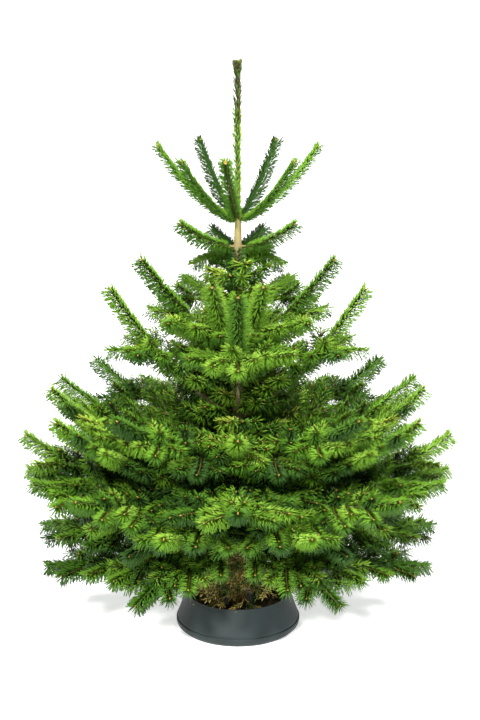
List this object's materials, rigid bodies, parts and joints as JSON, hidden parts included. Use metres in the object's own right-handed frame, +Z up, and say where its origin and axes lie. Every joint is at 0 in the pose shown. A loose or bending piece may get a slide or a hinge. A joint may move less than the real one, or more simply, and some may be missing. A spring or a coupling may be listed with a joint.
{
  "type": "fir tree in a stand",
  "caption": "Cut fir tree with whorled, needle-covered boughs, held upright in a low round water-holding stand with a flared skirt.",
  "frame": {"origin": "middle of the stand's flat underside, on the floor", "axes": "+Z up the trunk, -Y the side that faces the viewer, +X to the viewer's right"},
  "size_m": [1.2344, 1.0638, 1.643],
  "materials": {
    "bark": "rough bark with lenticels and old needle scars",
    "needles": "glossy dark green needles, paler underneath",
    "young_needles": "glossy fresh green needles",
    "stand_plastic": "satin moulded plastic",
    "clamp": "grey painted steel, slightly dusty"
  },
  "bodies": {
    "root": {"stand_tub": "stand_plastic", "stand_claw_1": "clamp", "stand_claw_2": "clamp", "stand_claw_3": "clamp", "stand_claw_4": "clamp", "trunk": "bark", "low_spray_1": "needles", "low_spray_2": "needles", "low_spray_3": "needles", "low_spray_4": "needles", "low_spray_5": "needles", "low_spray_6": "needles", "low_spray_7": "needles", "lower_spray_1": "needles", "lower_spray_2": "needles", "lower_spray_3": "needles", "lower_spray_4": "needles", "lower_spray_5": "needles", "lower_spray_6": "needles", "lower_spray_7": "needles", "main_spray_1": "needles", "main_spray_2": "needles", "main_spray_3": "needles", "main_spray_4": "needles", "main_spray_5": "needles", "main_spray_6": "needles", "main_spray_7": "needles", "main_spray_8": "needles", "middle_bough_1": "bark", "middle_bough_2": "bark", "middle_bough_3": "bark", "middle_spray_1": "needles", "middle_spray_2": "needles", "middle_spray_3": "needles", "middle_spray_4": "needles", "skirt_spray_1": "needles", "skirt_spray_2": "needles", "skirt_spray_3": "needles", "skirt_spray_4": "needles", "skirt_spray_5": "needles", "skirt_spray_6": "needles", "top_shoot_1": "young_needles", "top_shoot_2": "young_needles", "top_shoot_3": "young_needles", "top_shoot_4": "young_needles", "top_shoot_5": "young_needles", "top_shoot_6": "young_needles", "top_shoot_7": "young_needles", "tuft_1": "young_needles", "tuft_2": "young_needles", "tuft_3": "young_needles", "tuft_4": "young_needles", "tuft_5": "young_needles", "tuft_6": "young_needles", "upper_spray_1": "needles", "upper_spray_2": "needles", "upper_spray_3": "needles", "upper_spray_4": "needles", "upper_spray_5": "needles", "upper_spray_6": "needles"}
  },
  "joints": []
}
